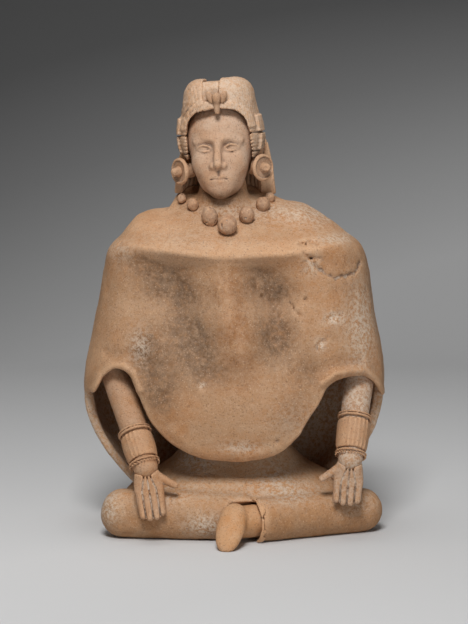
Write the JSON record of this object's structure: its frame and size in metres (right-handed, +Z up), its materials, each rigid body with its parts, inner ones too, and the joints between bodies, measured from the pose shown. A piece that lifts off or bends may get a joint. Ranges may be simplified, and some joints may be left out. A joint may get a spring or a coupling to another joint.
{
  "type": "seated ceramic figure",
  "caption": "Cross-legged seated woman of hand-modelled fired clay, in a bell-shaped cape, with a tall parted hairdo, ear spools and a string of pellets.",
  "frame": {"origin": "on the flat underside, below the neck and midway between the knees", "axes": "+Z up, the figure faces -Y, +X towards the figure's left hand"},
  "size_m": [0.1547, 0.1157, 0.2293],
  "materials": {
    "body_clay": "matt unglazed fired clay",
    "leg_clay": "matt unglazed fired clay",
    "cape_clay": "matt unglazed fired clay",
    "hair_clay": "matt unglazed fired clay",
    "bead_clay": "matt unglazed fired clay",
    "ornament_clay": "matt unglazed fired clay",
    "face_clay": "matt unglazed fired clay",
    "arm_clay": "matt unglazed fired clay"
  },
  "bodies": {
    "root": {"lap_skirt": "body_clay", "right_leg": "leg_clay", "left_leg": "leg_clay", "left_hem_lip": "leg_clay", "left_ankle": "leg_clay", "left_foot": "leg_clay", "torso": "body_clay", "cape": "cape_clay", "back_hair": "hair_clay", "bead_1": "bead_clay", "bead_2": "bead_clay", "bead_3": "bead_clay", "bead_4": "bead_clay", "bead_5": "bead_clay", "bead_6": "bead_clay", "bead_7": "bead_clay", "forehead_bud": "ornament_clay", "forehead_petals": "ornament_clay", "hair_crown": "hair_clay", "hair_fringe": "hair_clay", "hair_parting_panel": "hair_clay", "head": "face_clay", "left_cuff": "arm_clay", "left_cuff_lower_band": "arm_clay", "left_cuff_upper_band": "arm_clay", "left_ear_spool": "ornament_clay", "left_ear_spool_boss": "ornament_clay", "left_forearm": "arm_clay", "left_hair_lobe": "hair_clay", "left_hand": "arm_clay", "left_lower_lock": "hair_clay", "left_thumb": "arm_clay", "left_upper_arm": "arm_clay", "left_upper_lock": "hair_clay", "neck": "face_clay", "right_cuff": "arm_clay", "right_cuff_lower_band": "arm_clay", "right_cuff_upper_band": "arm_clay", "right_ear_spool": "ornament_clay", "right_ear_spool_boss": "ornament_clay", "right_forearm": "arm_clay", "right_hair_lobe": "hair_clay", "right_hand": "arm_clay", "right_lower_lock": "hair_clay", "right_thumb": "arm_clay", "right_upper_arm": "arm_clay", "right_upper_lock": "hair_clay"}
  },
  "joints": []
}
